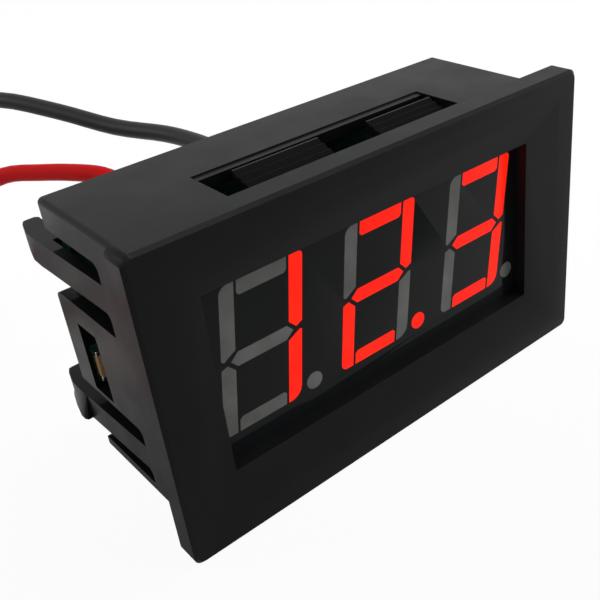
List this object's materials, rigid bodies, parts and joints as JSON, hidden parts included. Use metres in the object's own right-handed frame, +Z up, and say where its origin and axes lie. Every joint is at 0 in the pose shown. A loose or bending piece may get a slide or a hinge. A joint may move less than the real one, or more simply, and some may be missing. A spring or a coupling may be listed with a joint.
{
  "type": "digital panel meter",
  "caption": "Snap-in digital voltmeter module with a rectangular bezel, a recessed red LED digit display, side latch arms and two flying leads.",
  "frame": {"origin": "centre of the bezel's rear face, where it seats on the panel", "axes": "+X to the right as the display is read, +Y back through the panel, +Z up"},
  "size_m": [0.0747, 0.0642, 0.029],
  "materials": {
    "housing_plastic": "fine satin moulded ABS",
    "display_black": "glossy black display face",
    "segment_unlit": "grey translucent light guide, unlit",
    "segment_lit": "red translucent light guide, lit",
    "resin": "cast resin",
    "tinned_metal": "bright tin",
    "tinned_strands": "tinned copper strands",
    "board_green": "green solder resist",
    "chip_black": "matt moulded epoxy",
    "ceramic_tan": "matt ceramic",
    "resistor_black": "glazed film",
    "trimmer_blue": "matt plastic",
    "rotor_brass": "plated",
    "insulation_black": "smooth PVC",
    "insulation_red": "smooth PVC"
  },
  "bodies": {
    "meter": {"housing": "housing_plastic", "display_shell": "display_black", "display_resin": "resin", "display_pins_top": "tinned_metal", "display_pins_bottom": "tinned_metal", "digit_1_seg_a": "segment_unlit", "digit_1_seg_b": "segment_lit", "digit_1_seg_c": "segment_lit", "digit_1_seg_d": "segment_unlit", "digit_1_seg_e": "segment_unlit", "digit_1_seg_f": "segment_unlit", "digit_1_seg_g": "segment_unlit", "digit_1_point": "segment_unlit", "digit_2_seg_a": "segment_lit", "digit_2_seg_b": "segment_lit", "digit_2_seg_c": "segment_unlit", "digit_2_seg_d": "segment_lit", "digit_2_seg_e": "segment_lit", "digit_2_seg_f": "segment_unlit", "digit_2_seg_g": "segment_lit", "digit_2_point": "segment_lit", "digit_3_seg_a": "segment_lit", "digit_3_seg_b": "segment_lit", "digit_3_seg_c": "segment_lit", "digit_3_seg_d": "segment_lit", "digit_3_seg_e": "segment_unlit", "digit_3_seg_f": "segment_unlit", "digit_3_seg_g": "segment_lit", "digit_3_point": "segment_unlit", "circuit_board": "board_green", "solder_joints": "tinned_metal", "edge_capacitor": "ceramic_tan", "edge_capacitor_ends": "tinned_metal", "microcontroller": "chip_black", "microcontroller_leads": "tinned_metal", "regulator": "chip_black", "regulator_leads": "tinned_metal", "diode": "chip_black", "diode_ends": "tinned_metal", "chip_capacitors": "ceramic_tan", "chip_capacitor_ends": "tinned_metal", "chip_resistors": "resistor_black", "chip_resistor_ends": "tinned_metal", "trimmer_body": "trimmer_blue", "trimmer_feet": "tinned_metal", "black_lead": "insulation_black", "black_lead_coil": "insulation_black", "black_lead_wire": "tinned_strands", "black_lead_end": "tinned_strands", "red_lead": "insulation_red", "red_lead_coil": "insulation_red", "red_lead_wire": "tinned_strands", "red_lead_end": "tinned_strands"},
    "trimmer": {"trimmer_rotor": "rotor_brass"}
  },
  "joints": [
    {"name": "trimmer_adjust", "type": "hinge", "parent": "meter", "child": "trimmer", "pos_m": [0.0155, 0.0174, 0.006], "axis": [0, 1, 0], "range_deg": [-120, 120]}
  ]
}
